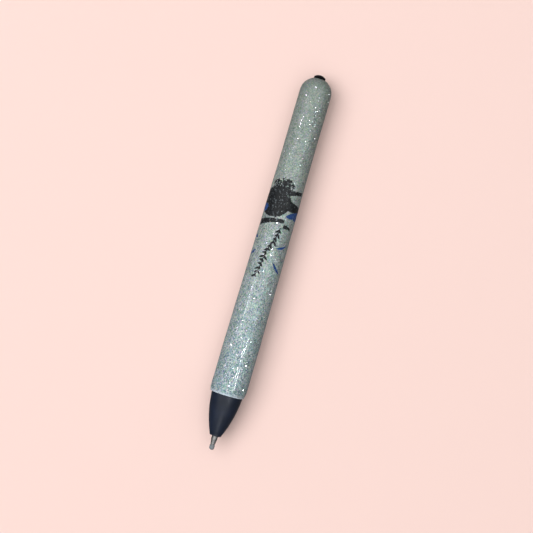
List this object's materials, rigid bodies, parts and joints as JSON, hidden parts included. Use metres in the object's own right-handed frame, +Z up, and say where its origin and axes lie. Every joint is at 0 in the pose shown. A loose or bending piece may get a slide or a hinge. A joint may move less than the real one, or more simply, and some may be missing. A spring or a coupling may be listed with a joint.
{
  "type": "gel pen",
  "caption": "Retractable gel pen with a round glitter and clear resin covered barrel, a dark tapered nose cone and a small push button.",
  "frame": {"origin": "under the middle of the pen, on the surface that it lies on", "axes": "+X along the pen from the writing point to the push button, +Z up"},
  "size_m": [0.1456, 0.0138, 0.0138],
  "materials": {
    "barrel_plastic": "moulded plastic, sanded where it is covered",
    "base_paint": "sprayed grey-green paint",
    "glitter": "fine silver-white iridescent glitter in clear adhesive",
    "printed_film": "printed film, black and dark blue",
    "clear_resin": "clear self-levelling resin, glossy",
    "nose_plastic": "satin moulded plastic, blue-black",
    "nib_steel": "turned and polished stainless steel",
    "carbide": "ground tungsten carbide",
    "seal_wax": "soft translucent grey sealing bead",
    "spring_steel": "drawn spring wire",
    "holder_plastic": "natural white moulded plastic",
    "clear_tube": "clear extruded tube",
    "gel_ink": "wet gel",
    "follower_grease": "clear pale grease",
    "acetal": "moulded acetal, slightly waxy",
    "button_plastic": "polished black plastic"
  },
  "bodies": {
    "barrel": {"barrel": "barrel_plastic", "base_coat": "base_paint", "glitter_coat": "glitter", "decal_film": "printed_film", "resin_coat": "clear_resin", "end_cap": "barrel_plastic", "guide_sleeve": "acetal"},
    "spring": {"return_spring": "spring_steel"},
    "nose": {"nose_cone": "nose_plastic"},
    "button": {"push_button": "button_plastic"},
    "rotor": {"index_rotor": "acetal"},
    "refill": {"nib": "nib_steel", "ball_spring": "spring_steel", "nib_holder": "holder_plastic", "refill_tube": "clear_tube", "gel_ink": "gel_ink", "ink_follower": "follower_grease", "tail_plug": "holder_plastic"},
    "ball": {"writing_ball": "carbide"},
    "seal": {"tip_seal": "seal_wax"}
  },
  "joints": [
    {"name": "button_slide", "type": "slide", "parent": "barrel", "child": "button", "axis": [1, 0, 0], "range_m": [-0.001, 0.006]},
    {"name": "refill_slide", "type": "slide", "parent": "barrel", "child": "refill", "axis": [1, 0, 0], "range_m": [-0.001, 0.006], "deforming": ["return_spring"]},
    {"name": "rotor_turn", "type": "hinge", "parent": "button", "child": "rotor", "pos_m": [0.04225, 0, 0.0069], "axis": [1, 0, 0], "range_deg": [-42.01, 7.01]},
    {"name": "nose_advance", "type": "slide", "parent": "barrel", "child": "spring", "axis": [-1, 0, 0], "range_m": [0, 0.00501]},
    {"name": "nose_turn", "type": "hinge", "parent": "spring", "child": "nose", "pos_m": [-0.05875, 0, 0.0069], "axis": [-1, 0, 0], "range_deg": [0, 900]},
    {"name": "ball_roll", "type": "hinge", "parent": "refill", "child": "ball", "pos_m": [-0.07195, 0, 0.0069], "axis": [0, 1, 0], "continuous": true},
    {"name": "seal_pull", "type": "slide", "parent": "refill", "child": "seal", "axis": [-1, 0, 0], "range_m": [0, 0.006]}
  ],
  "couplings": [
    {"joint": "refill_slide", "follows": "button_slide", "ratio": 1},
    {"joint": "rotor_turn", "follows": "button_slide", "rad_per_m": -122.17},
    {"joint": "nose_advance", "follows": "nose_turn", "m_per_rad": 0.00031831}
  ]
}
